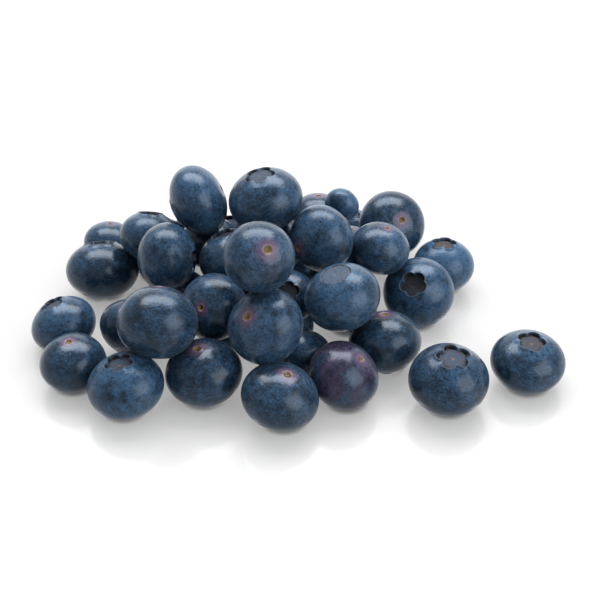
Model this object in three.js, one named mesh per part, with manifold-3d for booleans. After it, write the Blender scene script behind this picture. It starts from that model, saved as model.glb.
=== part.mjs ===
// A small heap of fresh blueberries as it lies on a table, with two berries that rolled off to the right.
// Millimetres, +Z up. The table is z = 0 and the origin is under the middle of the whole layout.
// The heap is one solid: a low core with every berry that shows fused on. The two loose berries are
// solids of their own. Each berry is a flattened ball with a five-lobed crown at one end of its axis
// and a small round stem scar at the other.
import * as THREE from "three";
import { mergeVertices } from "three/addons/utils/BufferGeometryUtils.js";
import Module from "manifold-3d";

// Driving sizes, in millimetres, or as a share of a berry's own radius where the name says so.
const TOUCH_SHARE = 0.955; // touching shell of a berry: ripe fruit settles a little into its neighbours
const TABLE_FLAT = 0.15; // how far a berry on the table flattens against it
const CROWN_SHARE = 0.36; // outer radius of the crown's raised rim
const CROWN_LIP_SHARE = 0.27; // inner radius of the rim
const CROWN_BOWL_SHARE = 0.2; // radius of the sunken disc inside the rim
const CROWN_RISE_SHARE = 0.07; // height of the rim over the skin around it
const CROWN_DEPTH_SHARE = 0.1; // depth of the sunken disc under the skin around it
const CROWN_LOBES = 5;
const LOBE_WAVE = 0.1; // how far the rim bulges out at a lobe and draws in between two lobes
const RIM_MARGIN = 0.001; // how far above the skin beside the crown a point counts as part of the rim
const SCAR_SHARE = 0.14; // radius of the stem scar
const SCAR_DEPTH_SHARE = 0.05; // depth of the stem scar

// Berries in the order they come to lie, low ones first. Each row is the place in the plan (x, y), the
// width across, the height along the berry's axis as a share of that width, and the way its crown end
// points: degrees away from straight up, then the compass heading of that lean from +X towards +Y.
const UNDERNEATH = [
  [-3, -16.5, 12.5, 0.8, 175, -175],
  [-18, -18, 12.5, 0.8, 170, -150],
  [11.5, -11, 13.5, 0.8, 5, 135],
  [0, 6.5, 14.5, 0.8, 160, -105],
  [-29, -6.5, 15, 0.8, 10, -110],
  [-14.5, -2.5, 15, 0.8, 170, 105],
];
const BACK_ON_TABLE = [
  [-47.6, 17.5, 13, 0.8, 165, -105],
  [13, 26, 11, 0.8, 0, 25],
  [12, 14, 14, 0.8, 170, -120],
  [23.5, 24, 13, 0.8, 165, 65],
  [-2, 25, 15, 0.8, 165, -120],
  [-25, 27.5, 13, 0.8, 175, -100],
  [-16.5, 15.5, 16, 0.8, 10, 170],
  [-34.6, 12.5, 16, 0.8, 150, 50],
];
const FRONT_ON_TABLE = [
  [-51.2, -32.6, 15, 0.84, 175, 15],
  [0.6, -28.5, 13, 0.85, 150, -90],
  [-55, -18.5, 15.5, 0.8, 25, 160],
  [19.4, -25.5, 16.7, 0.82, 165, -80],
  [-38.6, -41.5, 17.2, 0.8, 10, 180],
  [-21.5, -37, 17.5, 0.8, 170, 5],
  [-4.4, -45.4, 17.2, 0.8, 165, 165],
  [-47.8, 2.5, 17.5, 0.8, 25, 95],
  [9.7, -38.4, 16.2, 0.85, 145, 165],
  [-38.5, -21, 15.5, 0.82, 60, 70],
  [35, 5.6, 15, 0.86, 8, 90],
  [28.1, -7.4, 17, 0.85, 40, -115],
];
const SECOND_LAYER = [
  [10, 0, 13, 0.8, 70, 15],
  [-5.5, -9.5, 12, 0.8, 85, 115],
  [-25.5, 20, 14, 0.8, 25, -5],
  [-22, 5.5, 14.5, 0.8, 170, 60],
  [22.5, 13, 16.5, 0.82, 130, 115],
  [-2.5, -19, 12.5, 0.85, 42, -95],
  [-19.5, -23.5, 15.5, 0.82, 120, 60],
  [-5.5, 1.5, 14, 0.8, 60, -115],
  [-9, 16, 14, 0.8, 10, -175],
  [-36.2, 4, 14.2, 0.82, 25, 80],
  [4.5, 13, 14, 0.9, 170, -90],
  [10, 8, 8.5, 0.85, 70, 60],
  [-31.5, -33, 18, 0.9, 148, -95],
  [19, -3.5, 14, 0.85, 165, -175],
  [-16, -7, 15.5, 0.82, 25, 145],
  [-7.6, -34.1, 17.5, 0.85, 135, 40],
  [9.5, -25, 17.5, 0.8, 15, -175],
  [-31, -9, 16, 0.85, 90, -5],
];
const TOP_LAYER = [
  [5, -5.5, 16, 0.88, 90, 35],
  [-24, 3.5, 17, 0.75, 115, -170],
  [-9, -27.5, 16, 0.9, 135, 115],
  [-8, 1, 17.5, 0.82, 12, 165],
];
const HEAP_ROWS = [...UNDERNEATH, ...BACK_ON_TABLE, ...FRONT_ON_TABLE, ...SECOND_LAYER, ...TOP_LAYER];
const NEAR_ROW = [33, -40, 18, 0.82, 7, -45];
const FAR_ROW = [51.5, -32, 17, 0.73, 5, -40];

// The core is a mound on a wide low foot. Each is the upper half of a ball, stretched to its half sizes
// about its place on the table.
const CORE_PARTS = [
  { place: [-8, -5, 0], halfSizes: [22, 22, 20] },
  { place: [-10, -5, 0], halfSizes: [37, 32, 6] },
];
const CORE_FACETS = [24, 12];

// How finely the berries are faceted: sides around the axis, bands along it, and whether the rim has lobes.
const HEAP_FACETS = { sides: 12, bands: 6, lobed: false };
const LOOSE_FACETS = { sides: 40, bands: 12, lobed: true };
const TURN_STEP = 40; // degrees by which each berry's crown is turned on from the one before
const SEARCH_STEPS = 24; // rounds of each search for a resting height or a touching direction
const SEARCH_EASE = 0.8; // how far each round of the search for a touching direction follows the slope
const TABLE_BLOCK = 300; // side of the block that stands for the table when flats are cut
const WELD_DISTANCE = 1e-5; // points closer than this are one corner of a solid

const wasm = await Module();
wasm.setup();

// One berry from its row. Its crown direction is a unit vector along its axis.
function makeBerry([x, y, width, heightShare, lean, heading], index) {
  const leanAngle = THREE.MathUtils.degToRad(lean);
  const headingAngle = THREE.MathUtils.degToRad(heading);
  return {
    centre: new THREE.Vector3(x, y, 0),
    radius: width / 2,
    halfHeight: (width / 2) * heightShare,
    crownDirection: new THREE.Vector3(
      Math.sin(leanAngle) * Math.cos(headingAngle),
      Math.sin(leanAngle) * Math.sin(headingAngle),
      Math.cos(leanAngle),
    ),
    turn: THREE.MathUtils.degToRad(TURN_STEP * index),
  };
}

// How far a berry reaches from its centre in a direction, as the plane that just touches it.
function reach(berry, direction) {
  const along = berry.crownDirection.dot(direction);
  const acrossSquared = berry.radius ** 2 * (1 - along ** 2);
  return Math.sqrt(acrossSquared + (berry.halfHeight * along) ** 2);
}

// The point where a berry touches that plane, from its own centre.
function touchPoint(berry, direction) {
  const along = berry.crownDirection.dot(direction);
  const point = direction.clone().multiplyScalar(berry.radius ** 2);
  point.addScaledVector(berry.crownDirection, (berry.halfHeight ** 2 - berry.radius ** 2) * along);
  return point.divideScalar(reach(berry, direction));
}

// The widest gap that a plane between two touching shells can show. It is negative where they overlap.
function gapBetween(upper, lower, step) {
  const distance = step.length();
  const direction = step.clone().normalize();
  let widest = -Infinity;
  for (let round = 0; round < SEARCH_STEPS; round += 1) {
    const gap = direction.dot(step) - TOUCH_SHARE * (reach(upper, direction) + reach(lower, direction));
    widest = Math.max(widest, gap);
    const slope = step.clone();
    slope.addScaledVector(touchPoint(upper, direction), -TOUCH_SHARE);
    slope.addScaledVector(touchPoint(lower, direction), -TOUCH_SHARE);
    slope.addScaledVector(direction, -slope.dot(direction));
    direction.addScaledVector(slope, SEARCH_EASE / distance).normalize();
  }
  return widest;
}

// The height at which a berry, let down over its place in the plan, first touches one that already lies.
function restingHeight(berry, lying) {
  const step = new THREE.Vector3().subVectors(berry.centre, lying.centre);
  step.z = 0;
  const reachSum = berry.radius + lying.radius;
  if (step.length() > reachSum || gapBetween(berry, lying, step) >= 0) {
    return 0;
  }
  let low = 0;
  let high = reachSum;
  for (let round = 0; round < SEARCH_STEPS; round += 1) {
    step.z = (low + high) / 2;
    if (gapBetween(berry, lying, step) < 0) {
      low = step.z;
    } else {
      high = step.z;
    }
  }
  return lying.centre.z + high;
}

// Lays the berries one after another: each rests on the table or on those under it.
function layBerries(rows) {
  const up = new THREE.Vector3(0, 0, 1);
  const lying = [];
  for (const [index, row] of rows.entries()) {
    const berry = makeBerry(row, index);
    const onTable = reach(berry, up) - TABLE_FLAT;
    berry.centre.z = Math.max(onTable, ...lying.map((other) => restingHeight(berry, other)));
    lying.push(berry);
  }
  return lying;
}

// Half of a berry's outline, from the bottom of the stem scar to the middle of the crown.
function berryProfile(berry, bands) {
  const { radius, halfHeight } = berry;
  const scarAngle = Math.asin(SCAR_SHARE);
  const crownAngle = Math.PI - Math.asin(CROWN_SHARE);
  const shoulder = -halfHeight * Math.cos(crownAngle);
  const rimTop = shoulder + CROWN_RISE_SHARE * radius;
  const bowlFloor = shoulder - CROWN_DEPTH_SHARE * radius;
  const points = [new THREE.Vector2(0, -halfHeight + SCAR_DEPTH_SHARE * radius)];
  for (let band = 0; band <= bands; band += 1) {
    const angle = scarAngle + ((crownAngle - scarAngle) * band) / bands;
    points.push(new THREE.Vector2(radius * Math.sin(angle), -halfHeight * Math.cos(angle)));
  }
  points.push(new THREE.Vector2(CROWN_LIP_SHARE * radius, rimTop));
  points.push(new THREE.Vector2(CROWN_BOWL_SHARE * radius, bowlFloor));
  points.push(new THREE.Vector2(0, bowlFloor));
  return points;
}

// Draws the rim out at each lobe and lets it sink between lobes. The berry's axis is +Y here.
function waveRim(geometry, berry) {
  const shoulder = -berry.halfHeight * Math.cos(Math.PI - Math.asin(CROWN_SHARE));
  const place = geometry.attributes.position;
  for (let index = 0; index < place.count; index += 1) {
    if (place.getY(index) > shoulder + RIM_MARGIN) {
      const wave = Math.cos(CROWN_LOBES * Math.atan2(place.getX(index), place.getZ(index)));
      place.setX(index, place.getX(index) * (1 + LOBE_WAVE * wave));
      place.setZ(index, place.getZ(index) * (1 + LOBE_WAVE * wave));
      place.setY(index, place.getY(index) - (CROWN_RISE_SHARE * berry.radius * (1 - wave)) / 2);
    }
  }
}

// A berry's closed surface where it lies. It is grown until its flats lie as far inside the true round
// as its corners lie outside.
function berryGeometry(berry, facets) {
  const geometry = new THREE.LatheGeometry(berryProfile(berry, facets.bands), facets.sides);
  if (facets.lobed) {
    waveRim(geometry, berry);
  }
  const growth = 2 / (1 + Math.cos(Math.PI / facets.sides));
  const latheAxis = new THREE.Vector3(0, 1, 0);
  geometry.scale(growth, growth, growth);
  geometry.rotateY(berry.turn);
  geometry.applyQuaternion(new THREE.Quaternion().setFromUnitVectors(latheAxis, berry.crownDirection));
  geometry.translate(...berry.centre);
  return geometry;
}

// One part of the core that the berries sit on and around.
function coreGeometry({ place, halfSizes }) {
  const geometry = new THREE.SphereGeometry(1, ...CORE_FACETS);
  geometry.rotateX(Math.PI / 2);
  geometry.scale(...halfSizes);
  geometry.translate(...place);
  return geometry;
}

// A geometry as a solid for joining and cutting.
function toSolid(geometry) {
  geometry.deleteAttribute("normal");
  geometry.deleteAttribute("uv");
  const merged = mergeVertices(geometry, WELD_DISTANCE);
  return new wasm.Manifold(
    new wasm.Mesh({
      numProp: 3,
      vertProperties: new Float32Array(merged.attributes.position.array),
      triVerts: new Uint32Array(merged.index.array),
    }),
  );
}

// The largest closed piece of a solid, which leaves out sealed hollows and loose scraps.
function largestPiece(solid) {
  const pieces = solid.decompose();
  return pieces.reduce((best, piece) => (piece.volume() > best.volume() ? piece : best));
}

// A solid as a geometry again.
function toGeometry(solid) {
  const mesh = solid.getMesh();
  const geometry = new THREE.BufferGeometry();
  geometry.setAttribute("position", new THREE.BufferAttribute(mesh.vertProperties, 3));
  geometry.setIndex(new THREE.BufferAttribute(mesh.triVerts, 1));
  geometry.computeVertexNormals();
  return geometry;
}

// The block of table under z = 0, which gives each berry on it a small flat spot.
function tableSolid() {
  const block = new THREE.BoxGeometry(TABLE_BLOCK, TABLE_BLOCK, TABLE_BLOCK);
  block.translate(0, 0, -TABLE_BLOCK / 2);
  return toSolid(block);
}

// One named mesh from the geometries that are fused into it.
function fusedMesh(name, geometries, material) {
  const joined = geometries.map(toSolid).reduce((whole, solid) => whole.add(solid));
  const mesh = new THREE.Mesh(toGeometry(largestPiece(joined.subtract(tableSolid()))), material);
  mesh.name = name;
  return mesh;
}

const skinFinish = { color: 0x2b3a55, roughness: 0.5, metalness: 0 };
const berries = layBerries([...HEAP_ROWS, NEAR_ROW, FAR_ROW]);
const shownBerries = berries.slice(UNDERNEATH.length, HEAP_ROWS.length);
const [nearBerry, farBerry] = berries.slice(HEAP_ROWS.length);

const layout = new THREE.Group();
layout.add(
  fusedMesh(
    "heap",
    [...CORE_PARTS.map(coreGeometry), ...shownBerries.map((berry) => berryGeometry(berry, HEAP_FACETS))],
    new THREE.MeshStandardMaterial(skinFinish),
  ),
  fusedMesh(
    "loose_berry_near",
    [berryGeometry(nearBerry, LOOSE_FACETS)],
    new THREE.MeshStandardMaterial(skinFinish),
  ),
  fusedMesh(
    "loose_berry_far",
    [berryGeometry(farBerry, LOOSE_FACETS)],
    new THREE.MeshStandardMaterial(skinFinish),
  ),
);

// The layout moves so that the origin is under its middle.
const middle = new THREE.Box3().setFromObject(layout).getCenter(new THREE.Vector3());
layout.position.set(-middle.x, -middle.y, 0);

export default layout;
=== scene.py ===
import math

import bpy
import numpy as np
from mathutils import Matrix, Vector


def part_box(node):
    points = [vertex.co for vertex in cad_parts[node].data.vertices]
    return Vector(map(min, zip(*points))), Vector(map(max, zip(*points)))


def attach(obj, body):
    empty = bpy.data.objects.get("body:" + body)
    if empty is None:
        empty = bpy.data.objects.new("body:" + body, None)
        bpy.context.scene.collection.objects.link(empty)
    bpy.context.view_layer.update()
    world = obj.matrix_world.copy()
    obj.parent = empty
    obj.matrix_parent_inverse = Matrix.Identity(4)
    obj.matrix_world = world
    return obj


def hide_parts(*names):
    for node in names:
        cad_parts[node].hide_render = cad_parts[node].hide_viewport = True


# %% [markdown]
# A loose heap of fresh blueberries, with two that rolled off to the right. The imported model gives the
# frame: the heap's outline, the two loose berries and where the origin is. This lesson dresses that
# frame with real berries: each has a crown, a stem scar, its own size and its own bloom.

# %% Load the frame
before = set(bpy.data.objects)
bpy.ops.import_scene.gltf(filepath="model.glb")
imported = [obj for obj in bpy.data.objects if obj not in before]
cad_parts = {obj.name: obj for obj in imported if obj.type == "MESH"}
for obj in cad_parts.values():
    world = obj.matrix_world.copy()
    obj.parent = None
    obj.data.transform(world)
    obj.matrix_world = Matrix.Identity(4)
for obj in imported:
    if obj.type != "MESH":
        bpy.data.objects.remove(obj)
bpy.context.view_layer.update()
MM = 0.001  # the plan is written in millimetres and the scene is in metres
print("nodes", sorted(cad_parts))

# %% [markdown]
# Where each berry lies. Every row is a place in the plan (x, y), the width across, the height along the
# berry's own axis as a share of that width, and the way its crown end points: degrees away from straight
# up, then the compass heading of that lean from +X towards +Y. Heights aren't listed. They come from
# letting each berry down until it touches, which is how a real heap forms.

# %% The plan of the heap, in laying order
UNDERNEATH = [
    (-3, -16.5, 12.5, 0.8, 175, -175),
    (-18, -18, 12.5, 0.8, 170, -150),
    (11.5, -11, 13.5, 0.8, 5, 135),
    (0, 6.5, 14.5, 0.8, 160, -105),
    (-29, -6.5, 15, 0.8, 10, -110),
    (-14.5, -2.5, 15, 0.8, 170, 105),
]
BACK_ON_TABLE = [
    (-47.6, 17.5, 13, 0.8, 165, -105),
    (13, 26, 11, 0.8, 0, 25),
    (12, 14, 14, 0.8, 170, -120),
    (23.5, 24, 13, 0.8, 165, 65),
    (-2, 25, 15, 0.8, 165, -120),
    (-25, 27.5, 13, 0.8, 175, -100),
    (-16.5, 15.5, 16, 0.8, 10, 170),
    (-34.6, 12.5, 16, 0.8, 150, 50),
]
FRONT_ON_TABLE = [
    (-51.2, -32.6, 15, 0.84, 175, 15),
    (0.6, -28.5, 13, 0.85, 150, -90),
    (-55, -18.5, 15.5, 0.8, 25, 160),
    (19.4, -25.5, 16.7, 0.82, 165, -80),
    (-38.6, -41.5, 17.2, 0.8, 10, 180),
    (-21.5, -37, 17.5, 0.8, 170, 5),
    (-4.4, -45.4, 17.2, 0.8, 165, 165),
    (-47.8, 2.5, 17.5, 0.8, 25, 95),
    (9.7, -38.4, 16.2, 0.85, 145, 165),
    (-38.5, -21, 15.5, 0.82, 60, 70),
    (35, 5.6, 15, 0.86, 8, 90),
    (28.1, -7.4, 17, 0.85, 40, -115),
]
SECOND_LAYER = [
    (10, 0, 13, 0.8, 70, 15),
    (-5.5, -9.5, 12, 0.8, 85, 115),
    (-25.5, 20, 14, 0.8, 25, -5),
    (-22, 5.5, 14.5, 0.8, 170, 60),
    (22.5, 13, 16.5, 0.82, 130, 115),
    (-2.5, -19, 12.5, 0.85, 42, -95),
    (-19.5, -23.5, 15.5, 0.82, 120, 60),
    (-5.5, 1.5, 14, 0.8, 60, -115),
    (-9, 16, 14, 0.8, 10, -175),
    (-36.2, 4, 14.2, 0.82, 25, 80),
    (4.5, 13, 14, 0.9, 170, -90),
    (10, 8, 8.5, 0.85, 70, 60),
    (-31.5, -33, 18, 0.9, 148, -95),
    (19, -3.5, 14, 0.85, 165, -175),
    (-16, -7, 15.5, 0.82, 25, 145),
    (-7.6, -34.1, 17.5, 0.85, 135, 40),
    (9.5, -25, 17.5, 0.8, 15, -175),
    (-31, -9, 16, 0.85, 90, -5),
]
TOP_LAYER = [
    (5, -5.5, 16, 0.88, 90, 35),
    (-24, 3.5, 17, 0.75, 115, -170),
    (-9, -27.5, 16, 0.9, 135, 115),
    (-8, 1, 17.5, 0.82, 12, 165),
]
NEAR_LOOSE = [(33, -40, 18, 0.82, 7, -45)]
FAR_LOOSE = [(51.5, -32, 17, 0.73, 5, -40)]

# %% [markdown]
# Turn the rows into whole arrays, one entry a berry: radius, half height and the direction of the crown.

# %% Rows to arrays
groups = [UNDERNEATH, BACK_ON_TABLE, FRONT_ON_TABLE, SECOND_LAYER, TOP_LAYER, NEAR_LOOSE, FAR_LOOSE]
GROUP_NAMES = ["underneath", "back_row", "front_row", "second_layer", "top_layer", "loose_near", "loose_far"]
plan = np.array([row for group in groups for row in group], dtype=float)
group_ends = np.cumsum([len(group) for group in groups])
members = dict(zip(GROUP_NAMES, np.split(np.arange(len(plan)), group_ends[:-1])))
radius = plan[:, 2] / 2
half_height = radius * plan[:, 3]
lean = np.radians(plan[:, 4])
heading = np.radians(plan[:, 5])
crown_way = np.stack([np.sin(lean) * np.cos(heading), np.sin(lean) * np.sin(heading), np.cos(lean)], axis=1)
print(len(plan), "berries,", radius.min() * 2, "to", radius.max() * 2, "mm across")

# %% [markdown]
# Letting a berry down needs the gap between two tilted flattened balls. The widest gap that any plane
# between them can show is that distance, so the plane's direction is walked uphill a few times. The
# touching shells are a little inside the skins, because ripe fruit settles slightly into its neighbours.

# %% The gap between two berries
TOUCH_SHARE = 0.955  # touching shell of a berry as a share of its size
TABLE_FLAT = 0.15  # mm that a berry on the table flattens against it
SEARCH_STEPS = 24
SEARCH_EASE = 0.8  # how far each step follows the slope


def reach(berries, direction):
    """How far a berry's skin reaches along a direction: root of (radius across)² + (half height along)²."""
    along = np.sum(crown_way[berries] * direction, axis=-1)
    return np.sqrt(radius[berries] ** 2 * (1 - along**2) + (half_height[berries] * along) ** 2)


def touch_point(berries, direction):
    """Where the plane square to direction d touches: (radius² d + (height² - radius²) along c) / reach."""
    along = np.sum(crown_way[berries] * direction, axis=-1)
    squash = (half_height[berries] ** 2 - radius[berries] ** 2) * along
    point = np.atleast_1d(radius[berries] ** 2)[:, None] * direction + squash[:, None] * crown_way[berries]
    return point / reach(berries, direction)[:, None]


def widest_gap(upper, lying, step):
    """Largest over directions d of d·step less both reaches; below nothing where the shells overlap."""
    distance = np.linalg.norm(step, axis=1)[:, None]
    direction = step / distance
    widest = np.full(len(step), -np.inf)
    for _ in range(SEARCH_STEPS):
        shells = TOUCH_SHARE * (reach(upper, direction) + reach(lying, direction))
        widest = np.maximum(widest, np.sum(direction * step, axis=1) - shells)
        slope = step - TOUCH_SHARE * (touch_point(upper, direction) + touch_point(lying, direction))
        slope -= direction * np.sum(direction * slope, axis=1)[:, None]
        direction = direction + slope * SEARCH_EASE / distance
        direction /= np.linalg.norm(direction, axis=1)[:, None]
    return widest


# %% [markdown]
# Each berry starts level with one that already lies and is raised by halving steps until they just
# touch. It comes to rest at the highest of those heights, or on the table.

# %% Lay the heap
HALVINGS = 24
UP = np.array([[0.0, 0.0, 1.0]])
centre = np.hstack([plan[:, :2], np.zeros((len(plan), 1))])


def resting_heights(berry, lying):
    """For each berry that lies, the height at which this one touches it, found by halving an interval."""
    step = centre[berry] - centre[lying]
    step[:, 2] = 0
    high = radius[berry] + radius[lying]
    low = np.zeros(len(lying))
    meets = (np.linalg.norm(step, axis=1) <= high) & (widest_gap(berry, lying, step) < 0)
    for _ in range(HALVINGS):
        step[:, 2] = (low + high) / 2
        overlaps = widest_gap(berry, lying, step) < 0
        low = np.where(overlaps, step[:, 2], low)
        high = np.where(overlaps, high, step[:, 2])
    return np.where(meets, centre[lying, 2] + high, 0)


for berry in range(len(plan)):
    centre[berry, 2] = reach(np.array([berry]), UP)[0] - TABLE_FLAT
    if berry > 0:
        centre[berry, 2] = max(centre[berry, 2], resting_heights(berry, np.arange(berry)).max())
print("heap height", round(float((centre[:, 2] + half_height).max()), 1), "mm")

# %% [markdown]
# The plan's own origin is where the camera aims. The frame's origin is under the middle of the layout, so
# the plan moves by the step that brings the near loose berry onto its solid.

# %% Move the plan onto the frame
near_low, near_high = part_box("loose_berry_near")
near_middle = (np.array(near_low) + np.array(near_high)) / 2 / MM
plan_shift = near_middle - centre[members["loose_near"][0]]
plan_shift[2] = 0
centre += plan_shift
print("plan shift", plan_shift.round(2), "mm")

# %% [markdown]
# The photograph was taken with a long lens from 36 degrees above the table, so the berries at the back
# are nearly as large as those in front.

# %% Camera
PITCH = math.radians(36)
CAMERA_AWAY = 406 * MM  # from the lens to the point on the table that it aims at
LENS_MM = 100
SENSOR_MM = 36
aim = plan_shift * MM
camera_data = bpy.data.cameras.new("camera")
camera_data.sensor_width = SENSOR_MM
camera_data.lens = LENS_MM
camera = bpy.data.objects.new("camera", camera_data)
bpy.context.collection.objects.link(camera)
camera.location = aim + CAMERA_AWAY * np.array([0, -math.cos(PITCH), math.sin(PITCH)])
camera.rotation_euler = (math.pi / 2 - PITCH, 0, 0)
bpy.context.scene.camera = camera
bpy.context.scene.view_settings.view_transform = "Standard"
print("camera at", np.round(np.array(camera.location), 3))

# %% [markdown]
# A blueberry has a crown, the dried calyx of the flower: a low ring that opens in five rounded lobes
# round a sunken disc. Lobes bulge outwards with a sharp notch between them, which the size of a cosine
# gives: it is round at its tops and pointed where it turns. Crowns differ: most are stars, two are deep
# craters whose discs are painted dark as shade, two are worn down to a flat disc with fine rings, and the
# one on top of the heap has small pockets under its lobes, round a disc that is nearly level with the skin.

# %% Crown forms, as shares of the berry's radius
# share: the rim's radius. wave: how far the lobes swing it. rise: the rim's height over the skin. floor:
# how deep the disc lies. gutter: how deep the gutter round it lies. rings: height of the disc's rings.
LOBES = 5
STAR = {"share": 0.35, "wave": 0.17, "rise": 0.025, "floor": 0.07, "gutter": 0.12, "rings": 0.002}
CRATER = {"share": 0.35, "wave": 0.11, "rise": 0.03, "floor": 0.16, "gutter": 0.2, "rings": 0.003}
DISC = {"share": 0.4, "wave": 0.03, "rise": 0.01, "floor": 0.01, "gutter": 0.02, "rings": 0.005}
POCKETS = {"share": 0.34, "wave": 0.24, "rise": 0.01, "floor": 0.03, "gutter": 0.16, "rings": 0.002}
DISC_SHARE = 0.9  # edge of the sunken disc, as a share of the crown's own radius
CRATER_PLACES = [(28.1, -7.4), (-2.5, -19)]
DISC_PLACES = [(9.5, -25), (-38.5, -21)]
POCKETS_PLACES = [(-8, 1)]


def at_place(place):
    """True for the berry whose middle is at that place in the plan."""
    return np.all(plan[:, :2] == place, axis=1)


crown = {key: np.full(len(plan), STAR[key]) for key in STAR}
for form, places in ((CRATER, CRATER_PLACES), (DISC, DISC_PLACES), (POCKETS, POCKETS_PLACES)):
    for place in places:
        for key in crown:
            crown[key][at_place(place)] = form[key]
crown_radius = crown["share"] * radius
print("crown radius", crown_radius.min().round(1), "to", crown_radius.max().round(1), "mm")

# %% [markdown]
# No two berries are alike. Seeded draws give each its crown's size and depth, the unevenness of its lobes
# and of its whole body, and how much bloom it kept. A fixed turn from one berry to the next keeps their
# lobes from lining up. Lists of places then name the ones that stand out: one reddish berry, dry or
# stained crowns, and skins that are rubbed, dusty, or frosted with more bloom than any draw gives.

# %% What differs from berry to berry
SEED = 36
TURN_STEP = math.radians(40)
SHARE_RANGE = (0.9, 1.1)  # this and the next two are factors on the crown's form
WAVE_RANGE = (0.7, 1.3)
FLOOR_RANGE = (0.8, 1.3)
BODY_WAVES = 7
BODY_WAVE_TURNS = (1.5, 5.0)  # radians of a body wave over one radius of the berry
BODY_WAVE_SIZES = (0.0015, 0.007)  # how far one wave swells the body, as a share of its radius
draw = np.random.default_rng(SEED)
count = len(plan)
crown["share"] *= draw.uniform(*SHARE_RANGE, count)
crown["wave"] *= draw.uniform(*WAVE_RANGE, count)
crown["floor"] *= draw.uniform(*FLOOR_RANGE, count)
turn = TURN_STEP * np.arange(count)
lobe_phase = draw.uniform(0, 2 * math.pi, (count, 2))
wave_ways = draw.normal(size=(count, BODY_WAVES, 3))
wave_turns = draw.uniform(*BODY_WAVE_TURNS, (count, BODY_WAVES))
wave_ways *= (wave_turns / np.linalg.norm(wave_ways, axis=2))[:, :, None]
wave_phase = draw.uniform(0, 2 * math.pi, (count, BODY_WAVES))
wave_size = draw.uniform(*BODY_WAVE_SIZES, (count, BODY_WAVES))
bloom_amount = draw.uniform(0.0, 1.0, count)
redness = np.zeros(count)
dry_crown = np.zeros(count)
REDDISH_PLACES = [(9.7, -38.4)]
DRY_CROWN_PLACES = [(35, 5.6), (-2.5, -19), (28.1, -7.4)]
STAINED_CROWN_PLACES = [(51.5, -32)]
RUBBED_IN_HEAP = [(19.4, -25.5), (-21.5, -37), (-38.5, -21), (-31.5, -33), (-51.2, -32.6)]
RUBBED_LOOSE = [(33, -40), (51.5, -32)]
DUSTY_PLACES = [(-55, -18.5), (-38.6, -41.5), (28.1, -7.4), (-24, 3.5), (5, -5.5), (9.5, -25)]
FROSTED_PLACES = [(35, 5.6), (10, 8)]
SPECIAL_BERRIES = (  # what is set, to what level, for which berries
    (redness, 1, REDDISH_PLACES),
    (dry_crown, 1, DRY_CROWN_PLACES),
    (dry_crown, 0.6, STAINED_CROWN_PLACES),
    (bloom_amount, 0, RUBBED_IN_HEAP + RUBBED_LOOSE),
    (bloom_amount, 1, DUSTY_PLACES),
    (bloom_amount, 2.2, FROSTED_PLACES),
)
for values, level, places in SPECIAL_BERRIES:
    for place in places:
        values[at_place(place)] = level
most_uneven = float(wave_size.sum(axis=1).max())
print("bodies differ by up to", round(100 * most_uneven, 1), "% of the radius")

# %% [markdown]
# One berry is a surface of two parameters: the turn about its axis, and a way along the skin from the
# middle of the stem scar over the body to the middle of the crown. The rows crowd where there is fine
# form, in the scar and the crown, and are wide apart on the smooth body.

# %% Rows along the skin
SCAR_FOOT = 0.42  # share of the radius where the dimple round the scar begins
CROWN_FOOT = 0.56  # share where the skin starts to rise towards the crown's rim
SCAR_ROWS = 15
BODY_ROWS = 21
SLOPE_ROWS = 7
LIP_ROWS = 3
FLOOR_ROWS = 18
CROWDING = 1.5  # power that crowds the scar's rows towards its middle
scar_radii = SCAR_FOOT * np.linspace(0, 1, SCAR_ROWS, endpoint=False) ** CROWDING
body_angles = np.linspace(math.asin(SCAR_FOOT), math.pi - math.asin(CROWN_FOOT), BODY_ROWS)
slope_steps = np.linspace(0, 1, SLOPE_ROWS + 1)[1:]
floor_steps = np.linspace(1, 0, FLOOR_ROWS)
print("rows", SCAR_ROWS + BODY_ROWS + SLOPE_ROWS + LIP_ROWS + FLOOR_ROWS)


def smooth(low, high, value):
    """Rises from 0 at low to 1 at high along 3t² - 2t³, so that it starts and ends level."""
    t = np.clip((value - low) / (high - low), 0, 1)
    return t * t * (3 - 2 * t)


# %% [markdown]
# The stem scar is a shallow dimple with a small pit in the middle and a faint raised ring round the pit.
# Most are about 1.5 mm across. The berry on top of the middle of the heap has a larger one.

# %% The scar end, as shares of the berry's radius
SCAR_RANGE = (0.085, 0.115)
WIDE_SCAR = 0.135
WIDE_SCAR_PLACE = (-9, -27.5)
DIMPLE_DEPTH = 0.03
DIMPLE_WIDTH = 0.2
SCAR_RING_HEIGHT = 0.012
SCAR_RING_AT = 1.15  # this and the next two are in scar radii
SCAR_RING_WIDTH = 0.25
PIT_BOTTOM = 0.4
PIT_DEPTH = 0.05
scar_share = draw.uniform(*SCAR_RANGE, count)
scar_share[at_place(WIDE_SCAR_PLACE)] = WIDE_SCAR


def scar_height(r, squash, share):
    """Height at a radius near the scar: the flattened ball, plus a soft dimple, less a ring, plus a pit."""
    ball = -squash * np.sqrt(1 - r**2)
    dimple = DIMPLE_DEPTH * np.exp(-((r / DIMPLE_WIDTH) ** 2))
    ring = SCAR_RING_HEIGHT * np.exp(-(((r - share * SCAR_RING_AT) / (share * SCAR_RING_WIDTH)) ** 2))
    pit = PIT_DEPTH * (1 - smooth(share * PIT_BOTTOM, share, r))
    return ball + dimple - ring + pit


# %% [markdown]
# The crown's rim stands a little over the skin, highest at the lobes. Inside, a steep wall drops to a
# gutter, and the sunken disc rises from the gutter to the middle, with fine rings and a dot where the
# flower's style broke off.

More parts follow.
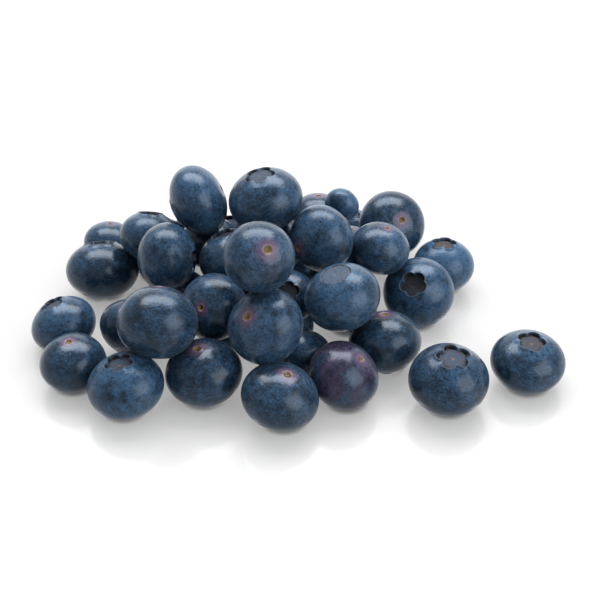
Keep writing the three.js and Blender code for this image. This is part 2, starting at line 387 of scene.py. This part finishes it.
# %% The crown end, as shares of the berry's radius
LOBE_POWER = 0.8  # under 1, so that the lobes are full and the notches narrow
ONCE_ROUND = 0.05  # slow unevenness of the rim, one swell and two round it
TWICE_ROUND = 0.04
NOTCH_RISE = 0.35  # the rim's height at a notch, where a lobe has 1
SLOPE_END = 0.03  # how far outside the rim the slope ends
LIP_STEPS = np.array([0.012, -0.004, -0.012])[None, :, None]  # of the lip's rows, outwards from the rim
LIP_RISES = np.array([1.1, 0.8, 0.0])[None, :, None]  # their heights over the skin, in rises of the rim
LIP_SINKS = np.array([0.0, 0.0, 0.6])[None, :, None]  # their depths, in depths of the gutter
FLOOR_STEP = 0.02  # how far inside the rim the floor begins
GUTTER_INSIDE = 0.95  # where the disc starts to fall to the gutter and ends, in disc edges
GUTTER_OUTSIDE = 1.3
LEAST_GUTTER = 0.01
RING_SPACING = 0.055
DOT_DEPTH = 0.012
DOT_WIDTH = 0.03


def rim_radius(chosen, angle):
    """Rim radius by angle: share x (1 + wave x (2 |cos 2.5 a|^0.8 - 1)), with a slow uneven swell."""
    lobe = np.abs(np.cos(LOBES / 2 * angle)) ** LOBE_POWER
    swell = ONCE_ROUND * np.cos(angle - lobe_phase[chosen, 0:1])
    swell = swell + TWICE_ROUND * np.cos(2 * angle - lobe_phase[chosen, 1:2])
    rim = crown["share"][chosen, None] * (1 + crown["wave"][chosen, None] * (2 * lobe - 1) + swell)
    return rim, lobe


def crown_rows(chosen, angle, squash):
    """Radius and height of each row over the crown, from the foot of the slope to the middle."""
    form = {key: value[chosen, None, None] for key, value in crown.items()}
    rim, lobe = rim_radius(chosen, angle)
    rim, lobe = rim[:, None, :], lobe[:, None, :]
    shoulder = squash * np.sqrt(1 - rim**2)
    rise = form["rise"] * (NOTCH_RISE + (1 - NOTCH_RISE) * lobe)
    t = slope_steps[None, :, None]
    slope_r = CROWN_FOOT + (rim + SLOPE_END - CROWN_FOOT) * t
    slope_z = squash * np.sqrt(1 - slope_r**2) + rise * t**3
    lip_r = rim + LIP_STEPS
    lip_z = shoulder + rise * LIP_RISES - form["gutter"] * LIP_SINKS
    floor_r = (rim - FLOOR_STEP) * floor_steps[None, :, None]
    disc_edge = DISC_SHARE * form["share"]
    fall = smooth(disc_edge * GUTTER_INSIDE, disc_edge * GUTTER_OUTSIDE, floor_r)
    gutter = (form["gutter"] - form["floor"]).clip(LEAST_GUTTER) * fall
    middle_level = squash * np.sqrt(1 - form["share"] ** 2) - form["floor"]
    rings = form["rings"] * np.cos(floor_r * 2 * math.pi / RING_SPACING)
    dot = DOT_DEPTH * np.exp(-((floor_r / DOT_WIDTH) ** 2))
    floor_z = middle_level - gutter + rings - dot
    r = np.concatenate([slope_r, lip_r, floor_r], axis=1)
    z = np.concatenate([slope_z, lip_z, floor_z], axis=1)
    return r, z


# %% [markdown]
# The whole berry: scar rows, body rows and crown rows, turned about the axis, uneven by a few slow waves
# over the body, and carried to the berry's own place with the crown pointing its way. Under the table's
# level the skin flattens, as a real berry does under its weight.

# %% Berries as arrays of points
NEARLY_UPRIGHT = 0.9  # past this height share of a crown's way, +Z can't serve as the helper


def axes_of(chosen):
    """Three axes a berry, as rows: two square to the crown's way and the crown's way itself."""
    way = crown_way[chosen]
    helper = np.where(np.abs(way[:, 2:3]) > NEARLY_UPRIGHT, [[1.0, 0, 0]], UP)
    first = np.cross(helper, way)
    first /= np.linalg.norm(first, axis=1)[:, None]
    return np.stack([first, np.cross(way, first), way], axis=1)


def berry_points(chosen, sides):
    """Points (berry, row, side, xyz) in mm, the same before turning and carrying, and radius shares."""
    angle = np.linspace(0, 2 * math.pi, sides, endpoint=False)[None, :] + 0 * chosen[:, None]
    squash = plan[chosen, 3][:, None, None]
    low_r = np.concatenate([scar_radii, np.sin(body_angles)])[None, :, None] + 0 * angle[:, None, :]
    scar_z = scar_height(scar_radii, plan[chosen, 3][:, None], scar_share[chosen, None])
    body_z = -plan[chosen, 3][:, None] * np.cos(body_angles)
    low_z = np.concatenate([scar_z, body_z], axis=1)[:, :, None] + 0 * angle[:, None, :]
    high_r, high_z = crown_rows(chosen, angle, squash)
    r = np.concatenate([low_r, high_r], axis=1)
    z = np.concatenate([low_z, high_z], axis=1)
    around = (angle + turn[chosen, None])[:, None, :]
    local = np.stack([r * np.cos(around), r * np.sin(around), z], axis=-1)
    swing = np.einsum("brsk,bwk->brsw", local, wave_ways[chosen]) + wave_phase[chosen, None, None, :]
    local *= 1 + np.sum(wave_size[chosen, None, None, :] * np.cos(swing), axis=-1)[..., None]
    turned = np.einsum("brsk,bkj->brsj", local, axes_of(chosen))
    points = centre[chosen, None, None, :] + radius[chosen, None, None, None] * turned
    points[..., 2] = np.maximum(points[..., 2], 0)
    return points, local * radius[chosen, None, None, None], r


# %% [markdown]
# The finish needs to know where it is on the berry. Two colour attributes carry the crown's parts (lip,
# disc, and painted shade in the gutter, under the wall and in deep craters, over dark dry tissue) and the
# berry's nature: redness, bloom, and last the dust round its crown, or inside the crown how dry and brown
# the disc is. Two single values carry the way out from the scar's middle and from the crown's, each
# counted in its own radii.

# %% Masks for the finish
FAR_FROM_SCAR = 12.0  # in scar radii, past anything that the finish paints round a scar
LIP_MIDDLE = 0.3  # this and the next two are in rows past the lip's first one
LIP_SPREAD = 0.8
# Painted shade in the crown's recesses, over its dark dry tissue: the wall inside the lip, the gutter and
# the disc of a deep crater
WALL_SHADE = (0.6, 1.6)
GUTTER_SHADE = 1.2  # in disc edges, where the painted shade in the gutter is full
NOTCH_SHADE = (0.25, 0.6)  # lobe values over which the painted shade of a pocket comes in, as a notch has none
CRATER_DEPTHS = (0.09, 0.16)  # floor depths over which painted shade darkens the whole disc, up to the share on the next line
CRATER_SHADE = 0.5
WORN_DEPTHS = (0.06, -0.02)  # floor depths over which the disc loses its own colour, up to WORN_LOSS
WORN_LOSS = 0.7
DUST_RING = (0.72, 0.42)  # radius shares where the dust round the crown starts and where it is full
DUSTY_BODY_ROWS = 4  # how many of the body's rows the dust may cover


def berry_masks(chosen, r):
    """Values a point: crown parts, nature, and the ways out from the scar and from the crown."""
    rows, sides = r.shape[1:]
    angle = np.linspace(0, 2 * math.pi, sides, endpoint=False)[None, :]
    row = np.arange(rows)[None, :, None] + 0 * r
    first_crown = SCAR_ROWS + BODY_ROWS
    lip_row = first_crown + SLOPE_ROWS
    in_floor = row >= lip_row + LIP_ROWS
    crown_share = crown["share"][chosen, None, None]
    floor_depth = crown["floor"][chosen, None, None]
    disc_edge = DISC_SHARE * crown_share
    lip = np.exp(-(((row - lip_row - LIP_MIDDLE) / LIP_SPREAD) ** 2))
    in_gutter = smooth(disc_edge, disc_edge * GUTTER_SHADE, r)
    # Painted shade: the wall inside the lip and the gutter darken, less towards the notches, and a deep
    # crater's whole disc darkens with its depth
    recess_shade = np.where(in_floor, in_gutter, smooth(*WALL_SHADE, row - lip_row))
    recess_shade *= smooth(*NOTCH_SHADE, rim_radius(chosen, angle)[1][:, None, :])
    recess_shade = np.maximum(recess_shade, CRATER_SHADE * in_floor * smooth(*CRATER_DEPTHS, floor_depth))
    disc = in_floor * (1 - recess_shade) * (1 - WORN_LOSS * smooth(*WORN_DEPTHS, floor_depth))
    at_scar_end = row < SCAR_ROWS + BODY_ROWS / 2
    scar_way = np.where(at_scar_end, r / scar_share[chosen, None, None], FAR_FROM_SCAR)
    dust = smooth(*DUST_RING, r) * (row >= first_crown - DUSTY_BODY_ROWS)
    dust_or_dryness = np.where(in_floor, dry_crown[chosen, None, None], dust)
    red = redness[chosen, None, None] + 0 * r
    bloom = bloom_amount[chosen, None, None] + 0 * r
    return {
        "crown_parts": np.stack([lip, disc, recess_shade], axis=-1),
        "nature": np.stack([red, bloom, dust_or_dryness], axis=-1),
        "scar_way": scar_way,
        "crown_way": r / crown_share,
    }


# %% [markdown]
# Faces join neighbouring rows. The first and last rows are single points, so the ends close without a
# hole, and the last side joins the first, so there is no seam.

# %% Faces of the berries
def berry_faces(berries, rows, sides):
    """Quads between full rows and triangles at both poles, counted from 0 for each berry in turn."""
    inner = rows - 2
    side = np.arange(sides)
    beside = (side + 1) % sides
    ring = 1 + sides * np.arange(inner - 1)[:, None]
    quads = np.stack([ring + side, ring + beside, ring + sides + beside, ring + sides + side], axis=-1)
    last = 1 + sides * (inner - 1)
    top = last + sides
    caps = np.concatenate(
        [
            np.stack([0 * side, 1 + beside, 1 + side], axis=-1),
            np.stack([last + side, last + beside, 0 * side + top], axis=-1),
        ]
    )
    starts = np.arange(berries) * (top + 1)
    all_quads = quads.reshape(1, -1, 4) + starts[:, None, None]
    all_caps = caps.reshape(1, -1, 3) + starts[:, None, None]
    return all_quads.reshape(-1, 4), all_caps.reshape(-1, 3)


def without_pole_copies(grid):
    """Flat list of a berry grid's values with each pole row kept once, in the faces' order."""
    berries = grid.shape[0]
    values = grid.shape[3] if grid.ndim == 4 else 1
    grid = grid.reshape(*grid.shape[:3], values)
    first = grid[:, 0, :1, :]
    middle = grid[:, 1:-1].reshape(berries, -1, values)
    last = grid[:, -1, :1, :]
    return np.concatenate([first, middle, last], axis=1).reshape(-1, values)


# %% [markdown]
# Berries that lie in the same part of the heap become one joined mesh. Each point also keeps its place
# on its own berry as it was before turning, so that the skin's pattern turns with the berry. A step from
# berry to berry keeps two of them from getting the same pattern.

# %% Build the berries
PATTERN_STEP = 40.0  # mm, more than a berry's width


def make_berries(name, group, sides):
    """One mesh of all the berries of a group, with its masks as attributes."""
    chosen = members[group]
    points, local, r = berry_points(chosen, sides)
    quads, caps = berry_faces(len(chosen), r.shape[1], sides)
    mesh = bpy.data.meshes.new(name)
    mesh.from_pydata(without_pole_copies(points) * MM, [], quads.tolist() + caps.tolist())
    mesh.shade_smooth()
    local = local + PATTERN_STEP * chosen[:, None, None, None]
    skin_place = mesh.attributes.new("skin_place", "FLOAT_VECTOR", "POINT")
    skin_place.data.foreach_set("vector", (without_pole_copies(local) * MM).astype(np.float32).ravel())
    for label, grid in berry_masks(chosen, r).items():
        values = without_pole_copies(grid)
        if values.shape[1] == 3:
            attribute = mesh.attributes.new(label, "FLOAT_COLOR", "POINT")
            opaque = np.hstack([values, np.ones((len(values), 1))])
            attribute.data.foreach_set("color", opaque.astype(np.float32).ravel())
        else:
            attribute = mesh.attributes.new(label, "FLOAT", "POINT")
            attribute.data.foreach_set("value", values.astype(np.float32).ravel())
    piece = bpy.data.objects.new(name, mesh)
    bpy.context.collection.objects.link(piece)
    print(name, len(chosen), "berries,", 2 * len(quads) + len(caps), "triangles")
    return piece


FINE_SIDES = 80
PLAIN_SIDES = 48
heap_pieces = [
    make_berries("berries_underneath", "underneath", PLAIN_SIDES),
    make_berries("berries_back_row", "back_row", FINE_SIDES),
    make_berries("berries_front_row", "front_row", FINE_SIDES),
    make_berries("berries_second_layer", "second_layer", FINE_SIDES),
    make_berries("berries_top_layer", "top_layer", FINE_SIDES),
]
near_berry = make_berries("berry_rolled_near", "loose_near", FINE_SIDES)
far_berry = make_berries("berry_rolled_far", "loose_far", FINE_SIDES)

# %% [markdown]
# The berries take the place of the heap and the two loose berries, which are hidden, and every piece rides
# on the root.

# %% Ride and replace
for piece in heap_pieces:
    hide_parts("heap")
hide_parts("loose_berry_near")
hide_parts("loose_berry_far")
all_pieces = [*heap_pieces, near_berry, far_berry]
for piece in all_pieces:
    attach(piece, "root")
print(len(all_pieces), "pieces ride on the root")

# %% [markdown]
# Colours are written as they look on a screen. The shader works in linear light, so one function turns
# them. Another adds a node with its settings and whatever feeds it, and gives the socket to read from.

# %% Helpers for materials
def linear(code):
    """sRGB hex to linear red, green, blue, alpha: (c + 0.055) / 1.055 to the power 2.4, or c / 12.92."""
    channels = np.array([int(code[i : i + 2], 16) for i in (1, 3, 5)]) / 255
    bright = ((channels + 0.055) / 1.055) ** 2.4
    return (*np.where(channels > 0.04045, bright, channels / 12.92).tolist(), 1.0)


def add_node(tree, kind, settings, inputs, output=0):
    """A node of one kind. Settings are its own options. Inputs are plain values or sockets to link."""
    node = tree.nodes.new(kind)
    for name, value in settings.items():
        setattr(node, name, value)
    for key, value in inputs.items():
        if isinstance(value, bpy.types.NodeSocket):
            tree.links.new(value, node.inputs[key])
        else:
            node.inputs[key].default_value = value
    return node.outputs[output]


# %% [markdown]
# Blueberry skin is nearly black navy. What makes it blue is bloom, a thin wax that scatters pale blue
# light. It is finely mottled, a little streaked round the berry's axis, rubbed off where berries touched,
# and marked with small dark scratches. Each of these is a noise of a real size, read on the berry's own
# place so that it follows the skin.

# %% The skin's noises
skin = bpy.data.materials.new("blueberry_skin_with_bloom")
skin.use_nodes = True
tree = skin.node_tree
shader = tree.nodes["Principled BSDF"]
skin_place = add_node(tree, "ShaderNodeAttribute", {"attribute_name": "skin_place"}, {}, "Vector")
NOISES = {  # size in mm, detail, roughness of the detail, how much finer along the axis than round it
    "patches": (6.0, 2, 0.5, 1),
    "rubbed": (4.5, 4, 0.6, 1),
    "mottle": (1.5, 4, 0.6, 1),
    "streaks": (1.3, 3, 0.65, 4),
    "grain": (0.4, 2, 0.6, 1),
    "marks": (0.8, 3, 0.6, 1.6),
    "crown_stain": (0.8, 3, 0.55, 1),
    "scar_edge": (0.6, 3, 0.6, 1),
}
noise = {}
for name, (size_mm, detail, detail_roughness, finer) in NOISES.items():
    stretched = add_node(tree, "ShaderNodeMapping", {}, {"Vector": skin_place, "Scale": (1, 1, finer)})
    inputs = {"Vector": stretched, "Scale": 1 / (size_mm * MM)}
    inputs.update({"Detail": detail, "Roughness": detail_roughness})
    noise[name] = add_node(tree, "ShaderNodeTexNoise", {}, inputs)
print(len(noise), "noises")

# %% [markdown]
# The masks that came with the mesh are read as attributes, and each colour attribute is split into its
# three parts.

# %% Read the masks
MASK_OUTPUTS = {"crown_parts": "Color", "nature": "Color", "scar_way": "Fac", "crown_way": "Fac"}
mask = {}
for label, output in MASK_OUTPUTS.items():
    mask[label] = add_node(tree, "ShaderNodeAttribute", {"attribute_name": label}, {}, output)
first_part = add_node(tree, "ShaderNodeSeparateColor", {}, {0: mask["crown_parts"]})
crown_lip, crown_disc, crown_recess_shade = first_part.node.outputs
first_nature = add_node(tree, "ShaderNodeSeparateColor", {}, {0: mask["nature"]})
reddish, berry_bloom, crown_dust = first_nature.node.outputs
print(len(mask), "masks")

# %% [markdown]
# The amount of bloom is a weighted sum of the noises, with more for a dusty berry and round the crown. The
# disc's rings are a wave of the way out from the crown's middle. A noise of its own makes them uneven,
# and also the edge of what the scar paints.

# %% Weighted sums and the disc's rings
BLOOM_WEIGHTS = (
    (noise["patches"], 0.4),
    (noise["mottle"], 0.5),
    (noise["streaks"], 0.55),
    (noise["grain"], 0.65),
    (berry_bloom, 0.14),
    (crown_dust, 0.1),
)
bloom_sum = 0.0
for part, weight in BLOOM_WEIGHTS:
    inputs = {0: part, 1: weight, 2: bloom_sum}
    bloom_sum = add_node(tree, "ShaderNodeMath", {"operation": "MULTIPLY_ADD"}, inputs)
RING_RADIANS = 20.0  # of the rings' wave over one crown radius, which gives about three rings
inputs = {0: mask["crown_way"], 1: RING_RADIANS, 2: noise["scar_edge"]}
ring_angle = add_node(tree, "ShaderNodeMath", {"operation": "MULTIPLY_ADD"}, inputs)
ring_wave = add_node(tree, "ShaderNodeMath", {"operation": "SINE"}, {0: ring_angle})
EDGE_RAGGEDNESS = 1.4  # in scar radii
inputs = {0: noise["scar_edge"], 1: EDGE_RAGGEDNESS, 2: mask["scar_way"]}
ragged_way = add_node(tree, "ShaderNodeMath", {"operation": "MULTIPLY_ADD"}, inputs)
print(len(BLOOM_WEIGHTS), "parts of the bloom")

# %% [markdown]
# Smooth steps turn the sums and noises into shares from 0 to 1. Each row gives the low and high ends of
# the step and the share at each end.

# %% Shares of each layer
STEPS = {
    "bloom": (bloom_sum, 0.86, 1.43, 0.0, 1.0),
    "rubbed": (noise["rubbed"], 0.53, 0.68, 0.0, 0.7),
    "mark": (noise["marks"], 0.56, 0.64, 0.0, 0.65),
    "red_patch": (noise["patches"], 0.36, 0.56, 0.2, 1.0),
    "scar_dust": (ragged_way, 2.5, 6.5, 0.35, 0.0),
    "scar_halo": (ragged_way, 1.8, 4.0, 0.85, 0.0),
    "scar_cream": (ragged_way, 1.7, 2.2, 0.28, 0.0),
    "scar_core": (ragged_way, 1.3, 1.7, 1.0, 0.0),
    "scar_pit": (ragged_way, 0.7, 1.2, 0.8, 0.0),
    "tan": (noise["crown_stain"], 0.48, 0.6, 0.0, 0.6),
    "ring": (ring_wave, 0.0, 0.9, 0.0, 0.35),
    "disc_rim": (mask["crown_way"], 0.6, 0.95, 0.0, 0.6),
    "style_dot": (mask["crown_way"], 0.06, 0.14, 0.8, 0.0),
}
share = {}
for name, (value, low, high, start, end) in STEPS.items():
    inputs = {"Value": value, "From Min": low, "From Max": high, "To Min": start, "To Max": end}
    share[name] = add_node(tree, "ShaderNodeMapRange", {"interpolation_type": "SMOOTHSTEP"}, inputs)
LIP_STRENGTH = 0.5
PRODUCTS = (
    ("lip", crown_lip, LIP_STRENGTH),
    ("tan_disc", crown_disc, share["tan"]),
    ("dry_disc", crown_disc, crown_dust),
    ("disc_ring", crown_disc, share["ring"]),
    ("brown_rim", crown_disc, share["disc_rim"]),
    ("dot", crown_disc, share["style_dot"]),
    ("dusty_scar", share["scar_dust"], share["bloom"]),
    ("red_skin", reddish, share["red_patch"]),
)
for name, first, second in PRODUCTS:
    share[name] = add_node(tree, "ShaderNodeMath", {"operation": "MULTIPLY"}, {0: first, 1: second})
inputs = {0: share["red_skin"], 1: share["bloom"]}
share["red_bloom"] = add_node(tree, "ShaderNodeMath", {"operation": "MULTIPLY"}, inputs)
print(len(share), "shares")

# %% [markdown]
# Then the layers are laid over each other, from the skin outwards: wax over dark skin, the purple skin of
# the one less ripe berry with its own paler wax, rubbed places and marks. Round the scar come dusty wax, a
# lilac halo, a cream ring, the olive core and its dark pit. At the other end come the crown's disc with
# its rings, tan stains, a darker purple-brown towards its edge and the dot, then its lip, and last painted
# shade in the gutter, under the wall and in deep craters, over dark dry tissue.

# %% Colours of the skin
SKIN_FILM = linear("#111e2b")
LAYERS = (
    (share["bloom"], "#2c4660"),
    (share["red_skin"], "#1d0e19"),
    (share["red_bloom"], "#332e45"),
    (share["rubbed"], "#080f17"),
    (share["mark"], "#070c13"),
    (share["dusty_scar"], "#586176"),
    (share["scar_halo"], "#4f3a50"),
    (share["scar_cream"], "#85766a"),
    (share["scar_core"], "#5c4a1e"),
    (share["scar_pit"], "#24170e"),
    (crown_disc, "#253547"),
    (share["disc_ring"], "#171e28"),
    (share["tan_disc"], "#3e2f2c"),
    (share["brown_rim"], "#231a1e"),
    (share["dry_disc"], "#332b29"),
    (share["dot"], "#6b5236"),
    (share["lip"], "#3a322f"),
    # painted shade in the crown's recesses, over dark dry tissue
    (crown_recess_shade, "#14130f"),
)
colour = SKIN_FILM
for layer_share, code in LAYERS:
    inputs = {0: layer_share, 6: colour, 7: linear(code)}
    colour = add_node(tree, "ShaderNodeMix", {"data_type": "RGBA"}, inputs, 2)
tree.links.new(colour, shader.inputs["Base Color"])
print(len(LAYERS), "layers of colour")

# %% [markdown]
# A waxy cuticle is smoother where the bloom is thin, so the bloom's share sets the roughness too. To the
# eye that gives a satin shine with soft edges. The crown's disc and lip are dry tissue and much rougher.
# The wax has a lower index than glass, and a little pale sheen at the berry's edge is its dust. A fine
# bump of the streaks and the grain breaks up the shine, and the dry disc is crumpled more.

# %% Shine and grain of the skin
BARE_ROUGHNESS = 0.18
BLOOM_ROUGHNESS = 0.26
DRY_ROUGHNESS = 0.7
inputs = {"Value": share["bloom"], "To Min": BARE_ROUGHNESS, "To Max": BLOOM_ROUGHNESS}
skin_roughness = add_node(tree, "ShaderNodeMapRange", {}, inputs)
dry_parts = add_node(tree, "ShaderNodeMath", {"operation": "MAXIMUM"}, {0: crown_disc, 1: crown_lip})
inputs = {"Value": dry_parts, "To Min": skin_roughness, "To Max": DRY_ROUGHNESS}
tree.links.new(add_node(tree, "ShaderNodeMapRange", {}, inputs), shader.inputs["Roughness"])
SKIN_CONSTANTS = {
    "IOR": 1.38,
    "Specular Tint": linear("#d5e4f5"),
    "Sheen Weight": 0.08,
    "Sheen Roughness": 0.5,
    "Sheen Tint": linear("#a9bdd6"),
}
for name, value in SKIN_CONSTANTS.items():
    shader.inputs[name].default_value = value
GRAIN_RELIEF = 0.4  # this and the next one count the streaks as 1
DISC_RELIEF = 7.0
BUMP_STRENGTH = 0.32
BUMP_HEIGHT = 0.15 * MM
inputs = {0: crown_disc, 1: noise["crown_stain"]}
disc_relief = add_node(tree, "ShaderNodeMath", {"operation": "MULTIPLY"}, inputs)
relief = noise["streaks"]
for height, weight in ((noise["grain"], GRAIN_RELIEF), (disc_relief, DISC_RELIEF)):
    inputs = {0: height, 1: weight, 2: relief}
    relief = add_node(tree, "ShaderNodeMath", {"operation": "MULTIPLY_ADD"}, inputs)
inputs = {"Height": relief, "Strength": BUMP_STRENGTH, "Distance": BUMP_HEIGHT}
tree.links.new(add_node(tree, "ShaderNodeBump", {}, inputs), shader.inputs["Normal"])
for piece in all_pieces:
    piece.data.materials.append(skin)
print(skin.name, len(tree.nodes), "nodes")

# %% [markdown]
# The berries lie on a glossy white sheet, so each has a faint mirror image below it. The sheet is a plain
# plane just under the flats of the berries. It glows, though no lamp lights it: that glow is painted light.
# Part of it is the same everywhere. The rest is painted shade: it fades where berries lie near, which
# paints the heap a wide soft shade, and all of the glow goes out right next to a berry's skin, which
# paints a thin dark contact shadow under each berry.

# %% The white sheet
SPREAD_PAINTED_GLOW = 0.29  # painted glow of the sheet, the same everywhere
OPEN_PAINTED_GLOW = 0.32  # more painted glow where nothing lies near, on top of that, so that its loss paints shade
SHADE_REACH = 22 * MM  # how near a berry takes that painted glow away
CONTACT_REACH = 1.2 * MM  # how near to a berry's skin all the painted glow goes out, a painted contact shadow
FLOOR_SIDE = 8000 * MM
FLOOR_DROP = 0.02 * MM  # keeps the sheet and the berries' flats from lying in one plane
half = FLOOR_SIDE / 2
corners = [(x * half, y * half, -FLOOR_DROP) for x, y in ((-1, -1), (1, -1), (1, 1), (-1, 1))]
floor_mesh = bpy.data.meshes.new("white_sheet")
floor_mesh.from_pydata(corners, [], [(0, 1, 2, 3)])
floor = bpy.data.objects.new("white_sheet", floor_mesh)
bpy.context.collection.objects.link(floor)
sheet = bpy.data.materials.new("glossy_white_sheet_with_painted_glow")
sheet.use_nodes = True
sheet_tree = sheet.node_tree
sheet_shader = sheet_tree.nodes["Principled BSDF"]
SHEET_CONSTANTS = {
    "Base Color": linear("#6c6c6c"),
    "Emission Color": (1, 1, 1, 1),
    "Roughness": 0.18,
    "IOR": 1.75,
}
for name, value in SHEET_CONSTANTS.items():
    sheet_shader.inputs[name].default_value = value
# Painted shade: the sheet's glow is scaled by how open it is round each point, far and near
open_share = add_node(sheet_tree, "ShaderNodeAmbientOcclusion", {}, {"Distance": SHADE_REACH}, 1)
inputs = {0: open_share, 1: OPEN_PAINTED_GLOW, 2: SPREAD_PAINTED_GLOW}
painted_glow = add_node(sheet_tree, "ShaderNodeMath", {"operation": "MULTIPLY_ADD"}, inputs)
clear_share = add_node(sheet_tree, "ShaderNodeAmbientOcclusion", {}, {"Distance": CONTACT_REACH}, 1)
painted_glow = add_node(sheet_tree, "ShaderNodeMath", {"operation": "MULTIPLY"}, {0: painted_glow, 1: clear_share})
sheet_tree.links.new(painted_glow, sheet_shader.inputs["Emission Strength"])
floor_mesh.materials.append(sheet)
print("floor", FLOOR_SIDE, "m")

# %% [markdown]
# The light is a studio's: a white room, a wide soft box overhead and a little behind, which shows as the
# long pale patch near the top of every berry, and a square one in front to the right, which shows as the
# fainter patch at the right. A white wall behind gives the upper edges their thin pale rim.

# %% Lights
ROOM_LIGHT = 0.62
SOFT_BOXES = (  # name, the way to it from the heap, how far, width and depth in metres, radiance
    ("soft_box_overhead", (0, 0.47, 0.88), 0.8, 0.98, 0.43, 11.0),
    ("soft_box_right", (0.7, -0.5, 0.5), 0.8, 0.66, 0.66, 4.2),
    ("white_wall_behind", (0, 1, 0.3), 1.3, 1.6, 0.7, 1.2),
)


def soft_box(name, toward, away, width, depth, radiance):
    """Flat lamp aimed at the heap. Power = radiance x pi x area, which a matt panel gives off."""
    lamp = bpy.data.lights.new(name, "AREA")
    lamp.shape = "RECTANGLE"
    lamp.size = width
    lamp.size_y = depth
    lamp.energy = radiance * math.pi * width * depth
    box = bpy.data.objects.new(name, lamp)
    bpy.context.collection.objects.link(box)
    way = np.array(toward) / np.linalg.norm(toward)
    box.location = way * away
    box.visible_camera = False
    box.rotation_euler = (math.acos(way[2]), 0, math.atan2(way[1], way[0]) + math.pi / 2)
    print(name, round(lamp.energy, 2), "W")


for settings in SOFT_BOXES:
    soft_box(*settings)
world = bpy.data.worlds.new("white_room")
world.use_nodes = True
background = world.node_tree.nodes["Background"]
background.inputs["Color"].default_value = (1, 1, 1, 1)
background.inputs["Strength"].default_value = ROOM_LIGHT
bpy.context.scene.world = world
